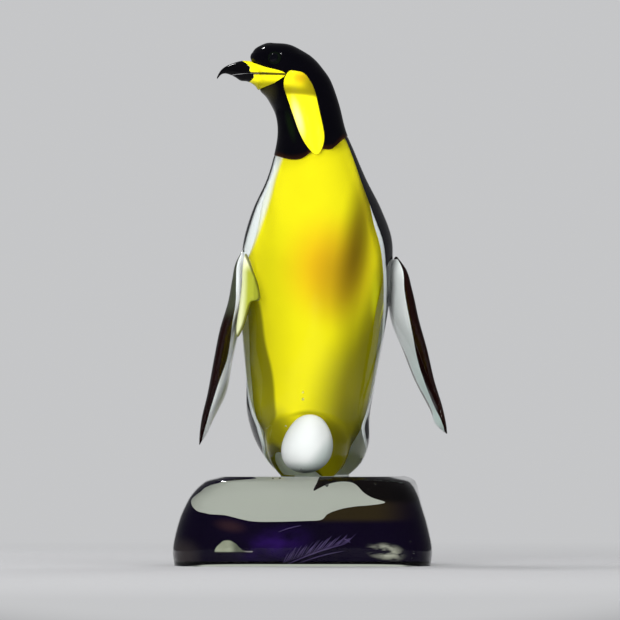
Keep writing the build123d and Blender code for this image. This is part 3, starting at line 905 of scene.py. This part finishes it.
def boolean(main, others, operation="UNION"):
    """Closed mesh joined with several others, or cut by them."""
    thing = new_object("work", main)
    helpers = [new_object("helper", mesh) for mesh in others]
    for helper in helpers:
        cut = thing.modifiers.new("cut", "BOOLEAN")
        cut.operation = operation
        cut.solver = "MANIFOLD"
        cut.object = helper
    graph = bpy.context.evaluated_depsgraph_get()
    made = bpy.data.meshes.new_from_object(thing.evaluated_get(graph))
    for helper in [thing] + helpers:
        bpy.data.objects.remove(helper)
    made.name = main.name + "_joined"
    return made


def add_bubbles(mesh, bubbles, sharp):
    """Seed bubbles, small closed hollows that face inwards: middle and width in millimetres."""
    with edited(mesh) as work:
        for x, y, z, size in bubbles:
            made = bmesh.ops.create_icosphere(work, subdivisions=3, radius=size / 2 * mm)["verts"]
            own = set(made)
            bmesh.ops.scale(work, vec=(1.0, 1.0, 1.15), verts=made)
            bmesh.ops.translate(work, vec=Vector((x, y, z)) * mm, verts=made)
            bmesh.ops.reverse_faces(work, faces=[f for f in work.faces if f.verts[0] in own])
    shade(mesh, sharp)


def build_body():
    """Clear glass of torso, egg cover, right root and both flippers in one, with seed bubbles."""
    others = [lump_mesh()] + [blade_mesh("blade_" + name, spec) for name, spec in flippers.items()]
    mesh = boolean(tidy(body_mesh()), [tidy(other) for other in others])
    mesh.name = "body_glass"
    tidy(mesh, 50.0)
    bubbles = [
        (0.4, -33.5, 99.3, 1.1), (0.4, -33.0, 95.4, 1.3), (-9.5, -34.0, 80.0, 0.9),
        (-1.0, -34.0, 55.4, 1.0), (18.5, -17.0, 56.0, 1.4),
    ]
    add_bubbles(mesh, bubbles, 50.0)
    glass = clear_glass("clear_body_glass", (0.97, 0.985, 0.98))
    piece(mesh, glass, ["body_casing_clear", "egg_cover_clear", "flipper_root_right"])


def seen_offset(offset, core, casing):
    """How far from the axis a place on a round core shows through its round casing.

    Both are level sections round one axis, looked at from the front.
    """
    bent = glass_index * core
    b = np.linspace(0, min(bent, casing) * 0.999, 60)
    turn = np.arcsin(np.clip(b / bent, 0, 1)) + np.arcsin(b / casing)
    turn -= np.arcsin(b / (glass_index * casing))
    at = core * np.sin(np.minimum(turn, math.pi / 2))
    return np.sign(offset) * np.interp(np.abs(offset), at, b)


def add_seen(mesh):
    """Gives each point of the core the place across at which the front view shows it."""
    places = np.array([point.co for point in mesh.vertices])
    levels = (places[:, 2] - torso_foot) / torso_height
    axis, casing = torso_section(torso_rows, levels)[:2]
    core = torso_section(core_rows, levels)[1]
    offsets = [seen_offset(*row) for row in zip(places[:, 0] - axis, core, casing)]
    mesh.attributes.new("seen", "FLOAT", "POINT").data.foreach_set("value", axis + offsets)


def build_core():
    turns = around(96)
    grid = []
    for level in np.linspace(0.031, 1.09, 150):
        ring = torso_ring(level, core_rows, 0.0, turns)[0]
        grid.append(at_height(ring, height_of(level)))
    mesh = tidy(grid_mesh("yellow_core", grid))
    add_seen(mesh)
    piece(mesh, core_material(), ["body_core_yellow"])


def build_egg():
    """Opal egg, narrower towards its top."""
    circle = unit_circle(72)
    grid = []
    for lean in np.linspace(-0.495, 0.495, 60) * math.pi:
        up = math.sin(lean)
        wide = math.cos(lean) * (1 - egg_taper * up)
        ring = egg_middle[:2] + egg_half[:2] * wide * circle + (egg_lean * egg_half[2] * up, 0.0)
        grid.append(at_height(ring, egg_middle[2] + egg_half[2] * up))
    piece(tidy(grid_mesh("egg_opal", grid)), egg_material(), ["egg"])


def back_layer(name, cover, wall, reach_rows, low):
    """Layer over the back between its two front edges, with a rounded rim."""
    columns = 90
    places = np.arange(columns)
    rim = np.clip(np.minimum(places, columns - 1 - places) / 4.0, 0.02, 1) ** 0.5
    grid = []
    for level in np.linspace(low, layer_top, 150):
        right = math.radians(smooth(coat_right_rows, 1, level) + smooth(reach_rows, 1, level))
        left = math.radians(smooth(coat_left_rows, 1, level) + smooth(reach_rows, 2, level))
        turns = np.linspace(-right, math.pi + left, columns)
        outer = torso_ring(level, torso_rows, -cover, turns)[0]
        inner = torso_ring(level, torso_rows, -cover - wall, turns)[0]
        inner = outer + (inner - outer) * rim[:, None]
        grid.append(at_height(np.vstack([outer, inner[::-1]]), height_of(level)))
    return tidy(grid_mesh(name, grid), 60.0)


def build_back():
    coat = back_layer("black_coat", coat_cover, coat_wall, coat_reach_rows, 0.045)
    black = mottled_glass(
        "black_coat_glass", 30.0, (0.0035, 0.0045, 0.005), (0.008, 0.007, 0.010),
        roughness=0.5, specular=0.0,
    )
    piece(coat, black, ["back_coat_black"])
    depth = coat_cover + coat_wall + layer_gap
    lining = back_layer("white_lining", depth, lining_wall, lining_reach_rows, 0.022)
    piece(lining, lining_material(), ["back_lining_white"])


def build_flippers():
    white = flipper_white_material()
    dark = flipper_dark_material()
    for name, spec in flippers.items():
        inner = tidy(blade_layer_mesh("flipper_white_" + name + "_glass", spec, False), 60.0)
        piece(inner, white, ["flipper_white_" + name])
        outer = tidy(blade_layer_mesh("flipper_dark_" + name + "_glass", spec, True), 60.0)
        piece(outer, dark, ["flipper_dark_" + name])


# Block


def block_ring(level, inset, floor, columns):
    """Section of the block at a level share, drawn in by inset."""
    left, right_front, right_back = (smooth(block_rows, i, level) * block_width - inset for i in (1, 2, 3))
    half = smooth(block_rows, 4, level) * block_depth - inset
    c, s = unit_circle(columns).T
    spread = (np.abs(c) ** block_squareness + np.abs(s) ** block_squareness) ** (1 / block_squareness)
    right = right_front + (right_back - right_front) * (1 + s / spread) / 2
    flat = np.column_stack([c / spread * np.where(c > 0, right, left), s / spread * half])
    return at_height(flat, floor + level * (block_height - floor))


def block_mesh():
    """Clear block, from the middle of its underside to the middle of its top."""
    walls = [block_ring(level, 0.0, 0.0, 200) for level in 1 - (1 - np.linspace(0.0, 1.0, 70)) ** 1.6]
    under = drawn_in(walls[0], (0.25, 0.5, 0.75, 0.9, 0.97, 0.995))
    top = drawn_in(walls[-1], (0.985, 0.96, 0.92, 0.86, 0.78, 0.68, 0.56, 0.44, 0.32, 0.2, 0.1))
    return grid_mesh("block_glass", under + walls + top)


def build_block():
    mesh = tidy(block_mesh())
    bubbles = [
        (-34.0, -41.0, 4.5, 1.8), (-31.5, -41.5, 3.8, 1.5), (60.6, -40.0, 14.3, 1.3),
        (62.3, -38.0, 8.0, 1.5), (61.7, -39.0, 5.0, 1.0), (13.9, -41.3, 46.0, 2.0),
        (-16.9, -36.0, 48.2, 1.0), (-12.8, -36.0, 48.4, 1.2), (41.4, -40.6, 46.6, 1.5),
        (37.4, -41.6, 43.6, 1.2),
    ]
    add_bubbles(mesh, bubbles, 40.0)
    glass = clear_glass("clear_block_glass", (0.98, 0.99, 0.98), absorb=(0.63, 0.70, 0.50), density=8.0)
    piece(mesh, glass, ["base_block_clear"])


def violet_top(ring):
    """Height of the violet's top at the places of a ring: lower towards the back."""
    edge = smooth(violet_edge_rows, 1, ring[:, 0] / block_width) * block_height
    return edge - violet_fall * (ring[:, 1] / block_depth + 0.5)


def violet_mesh():
    """Violet mass in the lower part of the block, with a wavy top."""
    levels = np.linspace(violet_foot_level, 0.6, 30)
    walls = [block_ring(level, violet_inset, violet_floor, 160) for level in levels]
    under = drawn_in(walls[0], (0.3, 0.6, 0.85, 0.97))
    edge = violet_top(walls[-1])
    low, high = walls[0][0, 2], walls[-1][0, 2]
    for ring in walls:
        ring[:, 2] = low + (ring[:, 2] - low) / (high - low) * (edge - low)
    top = drawn_in(walls[-1], (0.97, 0.9, 0.8, 0.65, 0.5, 0.35, 0.2, 0.08))
    for ring in top:
        ring[:, 2] = violet_top(ring)
    return grid_mesh("violet_mass", under + walls + top)


def seen_from_front(point, depth):
    """Place at a depth that the camera sees at point, given in the plane of the axis."""
    share = (view_distance + depth) / view_distance
    x = view_middle[0] + (point[0] - view_middle[0]) * share
    return (x, eye_level + (point[1] - eye_level) * share)


def seen_outline(points, depth):
    """Closed curve at a depth, seen from the front through points, (across, up) in millimetres."""
    p = np.array([seen_from_front(point, depth) for point in in_mm(points)])
    slope = (np.roll(p, -1, axis=0) - np.roll(p, 1, axis=0)) * 0.5
    made = []
    for i in range(len(p)):
        j = (i + 1) % len(p)
        for t in np.linspace(0, 1, 8, endpoint=False):
            a = 2 * t**3 - 3 * t**2 + 1
            b = t**3 - 2 * t**2 + t
            c = t**3 - t**2
            made.append(a * p[i] + b * slope[i] + (1 - a) * p[j] + c * slope[j])
    return np.array(made)


def shell_mesh():
    """Thin wall inside the block's front and ends, open at the clear window and the clear corner. At the
    upper left it stands in for the dark that the rounded edges show by refraction.
    """
    levels = np.concatenate([np.linspace(0.06, 0.9, 26), np.linspace(0.915, 0.985, 6)])
    outer = [block_ring(level, window_inset, 0.0, 200) for level in levels]
    inner = [block_ring(level, window_inset + shell_wall, 0.0, 200) for level in levels]
    inner[-1][:, 2] -= shell_wall
    inner[0][:, 2] += shell_wall
    cuts = [tidy(grid_mesh("shell_inside", inner))]
    for name, points in (("window", window_points), ("corner", corner_points)):
        outline = seen_outline(points, -block_depth / 2 + window_inset)
        cuts.append(prism_mesh(name, outline, -block_depth, window_rear))
    square = np.array([(-1, -1), (1, -1), (1, 1), (-1, 1)]) * block_width
    cuts.append(prism_mesh("rear", square, shell_rear, block_depth))
    return boolean(tidy(grid_mesh("shell", outer)), cuts, "DIFFERENCE")


def build_violet():
    mesh = boolean(tidy(violet_mesh()), [shell_mesh()])
    mesh.name = "violet_core"
    piece(tidy(mesh, 50.0), violet_material(), ["base_core_violet"])


# Patches raised on the surface


def pillow(name, outline, under, side, relief, sink):
    """Raised patch with a round profile on a surface. under gives the surface's depth at a place."""
    middle = outline.mean(axis=0)
    grid = []
    shares = np.sin(np.linspace(0.04, 0.5, 16) * math.pi)
    rows = [(share, relief * math.sqrt(max(1 - share**3, 0.0))) for share in shares]
    rows += [(share, -sink) for share in (0.995, 0.8, 0.5, 0.2)]
    for share, lift in rows:
        flat = middle + (outline - middle) * share
        deep = [under(x, z) + side * lift for x, z in flat]
        grid.append(np.column_stack([flat[:, 0], deep, flat[:, 1]]))
    return tidy(grid_mesh(name, grid), 60.0)


def head_surface(side):
    """Depth of the black head at a place, seen from one side. Past its edge the nearest depth goes on."""
    solid = nodes["head_black"]
    mesh = bmesh.new()
    mesh.from_mesh(solid.data)
    mesh.transform(solid.matrix_world)
    tree = BVHTree.FromBMesh(mesh)
    mesh.free()
    farthest = side * 15.0 * mm
    inwards = (-0.4 * mm, 0.8 * mm)

    def under(x, z):
        for turn in range(40):
            hit = tree.ray_cast(Vector((x, side, z)), Vector((0.0, -side, 0.0)))[0]
            if hit:
                return hit.y
            x += inwards[0]
            z += inwards[1]
        return farthest

    return under


def build_cheeks():
    material = cheek_material()
    outline = seen_outline(cheek_points, cheek_plane)
    for side, name in ((-1, "left"), (1, "right")):
        under = head_surface(side)
        mesh = pillow("cheek_" + name + "_glass", outline, under, side, cheek_relief, cheek_sink)
        piece(mesh, material, ["cheek_patch_" + name])


def build_web():
    """Glass that spreads from the left flipper's root over the flank."""

    def under(x, z):
        centre, half, front, _ = torso_section(torso_rows, (z - torso_foot) / torso_height)
        return min(-front * math.sqrt(max(1 - ((x - centre) / half) ** 2, 0.0)), flank_rear)

    mesh = pillow("web_left_glass", seen_outline(web_points, web_plane), under, -1, web_relief, web_sink)
    piece(mesh, web_material(), ["flipper_root_left"])


def build_foot_glint():
    """Pale bead of glass round the torso's foot, where it is fused to the block: a painted highlight for
    the bright line that the join reflects.
    """
    ring, centre = torso_ring(0.004, torso_rows, 0.0, around(120))
    out = rays(ring, centre)[1]
    grid = []
    for lean in around(12):
        height = torso_foot + glint_rise + glint_half * math.sin(lean)
        grid.append(at_height(ring + out * glint_half * math.cos(lean), height))
    grid.append(grid[0])
    # Painted highlight: pale, mottled towards grey
    glass = mottled_glass("pale_foot_glint_glass", 90.0, (0.62, 0.65, 0.64), (0.30, 0.33, 0.31), roughness=0.1)
    piece(tidy(grid_mesh("foot_glint", grid, ends=False)), glass)


def shifted_mesh(name):
    """Copy of a solid's mesh with the head's shifts and a smooth crown."""
    mesh = nodes[name].data.copy()
    mesh.transform(nodes[name].matrix_world)
    mesh.name = name + "_glass"
    shifts = in_mm(head_shifts)
    with edited(mesh) as work:
        crown = [v for v in work.verts if v.co.z > crown_low]
        axes_used = dict.fromkeys(("use_axis_x", "use_axis_y", "use_axis_z"), True)
        for turn in range(30):
            bmesh.ops.smooth_vert(work, verts=crown, factor=0.5, **axes_used)
        for v in work.verts:
            place = Vector((v.co.x, v.co.z))
            for x, z, shift_x, shift_z, reach in shifts:
                share = math.exp(-((place - Vector((x, z))).length / reach) ** 2)
                v.co.x += shift_x * share
                v.co.z += shift_z * share
    return tidy(mesh)


def build_head():
    yellow_glass = beak_yellow_material()
    black = mottled_glass(
        "black_beak_glass", 150.0, (0.0010, 0.0010, 0.0018), (0.0025, 0.0022, 0.0026),
        roughness=0.07, specular=0.09,
    )
    piece(shifted_mesh("head_black"), head_material(), ["head_black"])
    for part in ("beak_upper", "beak_lower"):
        piece(shifted_mesh(part + "_yellow"), yellow_glass, [part + "_yellow"])
        piece(shifted_mesh(part + "_tip"), black, [part + "_tip"])


def barb_mesh(start, size, lean, half):
    """Thin streak before the dark wall: its start across and up, length, lean and half width in mm."""
    grid = []
    for share in np.linspace(0.02, 0.98, 12):
        x = start[0] + size * share * math.cos(lean)
        z = start[1] + size * share * math.sin(lean) + 0.03 * size * math.sin(math.pi * share)
        y = window_inset - 1.3 * mm - float(smooth(block_rows, 4, z / block_height)) * block_depth
        thick = half * mm * math.sqrt(math.sin(math.pi * share))
        side, deep = thick * unit_circle(8).T
        ring = np.column_stack([x - side * math.sin(lean), y + 0.5 * deep, z + side * math.cos(lean)])
        grid.append(ring)
    return grid_mesh("barb", grid)


def build_veil():
    """Feathered lilac streaks in the clear glass before the violet mass."""
    count = 34
    barbs = []
    for i in range(count):
        share = i / (count - 1)
        start = (-11.0 * mm + 36.0 * mm * share, 2.0 * mm + 11.0 * mm * share)
        size = (5.5 + 4.5 * math.sin(2.7 * share + 0.3) + 1.8 * math.sin(9.0 * i)) * mm
        lean = math.radians(62.0 - 22.0 * share + 5.0 * math.sin(5.0 * i))
        barbs.append((start, size, lean, 0.19 + 0.08 * math.sin(3.0 * i)))
    barbs += [
        ((-9.0 * mm, 1.2 * mm), 36.0 * mm, math.radians(19.0), 0.32),
        ((-2.0 * mm, 2.0 * mm), 27.0 * mm, math.radians(15.0), 0.22),
        ((-14.0 * mm, 19.5 * mm), 14.0 * mm, math.radians(16.0), 0.34),
        ((23.0 * mm, 16.0 * mm), 5.0 * mm, math.radians(-30.0), 0.45),
    ]
    mesh = bpy.data.meshes.new("veil_streaks")
    with edited(mesh) as work:
        for barb in barbs:
            work.from_mesh(barb_mesh(*barb))
    glass = mottled_glass(
        "lilac_streak_glass", 120.0, (0.022, 0.010, 0.060), (0.085, 0.062, 0.150),
        roughness=0.3, specular=0.1,
    )
    piece(tidy(mesh), glass, ["base_veil_lilac"])


def dress_solids():
    """Finishes of the solids that show as they are."""
    disc, bead = new_material("eye_disc_olive"), new_material("eye_bead_black")
    plain_glass(disc, (0.0022, 0.0040, 0.0024), roughness=0.08, specular=0.08)
    plain_glass(bead, (0.0015, 0.0015, 0.003), roughness=0.03, specular=0.14)
    for side in ("left", "right"):
        for name, material in (("eye_disc_", disc), ("eye_bead_", bead)):
            for place in nodes[name + side].material_slots:
                place.material = material


# Stage, light and camera


def seen_rays(material):
    """1 where the camera looks, also by a reflection or through the glass, and 0 for lighting."""
    paths = add(material, "LightPath").outputs
    through = maths(material, "MAXIMUM", paths["Is Glossy Ray"], paths["Is Transmission Ray"])
    return maths(material, "MAXIMUM", paths["Is Camera Ray"], through)


def floor_material():
    """Pale floor that runs into the backdrop's tone with distance, and into the room's beside the sheet."""
    m = new_material("pale_floor")
    x, y, _ = axes(m)
    fade = times(m, step(m, length(m, x, y), 0.12, 0.9), seen_rays(m))
    matt = add(m, "BsdfDiffuse", {"Color": (0.46, 0.46, 0.47)})
    half = maths(m, "ADD", times(m, y, 0.25), 0.5)
    sheet = step(m, maths(m, "SUBTRACT", half, maths(m, "ABSOLUTE", x)), -0.15, 0.15)
    glow = add(m, "Emission", {"Color": mix(m, sheet, room, backdrop), "Strength": 1.0})
    surface(m, blend(m, fade, matt.outputs[0], glow.outputs[0]))
    return m


def build_stage():
    mesh = bpy.data.meshes.new("floor")
    half = 30.0
    corners = [(-half, -half, 0.0), (half, -half, 0.0), (half, half, 0.0), (-half, half, 0.0)]
    mesh.from_pydata(corners, [], [(0, 1, 2, 3)])
    floor = new_object("floor", mesh)
    mesh.materials.append(floor_material())


def build_world():
    """Even studio light, brighter overhead. The camera and the glass see the sheet and the room."""
    world = bpy.data.worlds.new("studio")
    world.use_nodes = True
    world.node_tree.nodes.clear()
    way = add(world, "SeparateXYZ", {0: add(world, "TexCoord").outputs["Generated"]}).outputs
    rise = step(world, way[2], 0.25, 0.9, 0.12, 0.45)
    light = add(world, "Background", {"Color": (0.97, 0.985, 1.0), "Strength": rise})
    beside = add(world, "Background", {"Color": room})
    behind = add(world, "Background", {"Color": backdrop})
    pale = blend(world, step(world, way[1], 0.955, 0.98), beside.outputs[0], behind.outputs[0])
    both = blend(world, seen_rays(world), light.outputs[0], pale)
    add(world, "OutputWorld", {"Surface": both})
    bpy.context.scene.world = world


def soft_box(name, place, size, power, gloss=False):
    """Square lamp that faces the middle of the object. gloss lets it show as a highlight."""
    lamp = bpy.data.lights.new(name, "AREA")
    lamp.shape = "RECTANGLE"
    lamp.size, lamp.size_y = size
    lamp.energy = power
    thing = new_object(name, lamp)
    thing.location = place
    thing.visible_glossy = gloss
    way = Vector((0.0, 0.0, 0.15)) - Vector(place)
    thing.rotation_mode = "QUATERNION"
    thing.rotation_quaternion = way.to_track_quat("-Z", "Y")


def build_lights():
    soft_box("key", (-0.50, -1.50, 0.40), (0.9, 0.9), 27.0)
    soft_box("fill", (0.95, -1.10, 0.25), (0.7, 0.9), 15.0)
    soft_box("side", (-0.95, 0.40, 0.35), (0.40, 0.9), 8.0)
    soft_box("back", (0.7, 0.9, 0.8), (0.6, 0.6), 5.0)
    soft_box("glint", (-0.052, -0.55, 1.35), (0.022, 0.10), 2.6, gloss=True)
    soft_box("rim", (-0.40, 0.42, 1.10), (0.12, 0.08), 2.5, gloss=True)


def build_camera():
    data = bpy.data.cameras.new("camera")
    data.sensor_width = 36.0
    data.lens = data.sensor_width * view_distance / view_width
    camera = new_object("camera", data)
    camera.location = (view_middle[0], -view_distance, eye_level)
    tilt = math.atan2(view_middle[1] - eye_level, view_distance)
    camera.rotation_euler = (math.radians(90) + tilt, 0.0, 0.0)
    data.clip_end = 100.0
    bpy.context.scene.camera = camera


def settings():
    scene = bpy.context.scene
    scene.view_settings.view_transform = "Standard"
    scene.cycles.caustics_reflective = False
    scene.cycles.caustics_refractive = False
    scene.cycles.max_bounces = 24
    scene.cycles.transmission_bounces = 20
    scene.cycles.transparent_max_bounces = 24


build_body()
build_core()
build_egg()
build_back()
build_flippers()
build_block()
build_violet()
build_veil()
build_head()
dress_solids()
build_cheeks()
build_web()
build_foot_glint()
build_stage()
build_world()
build_lights()
build_camera()
settings()
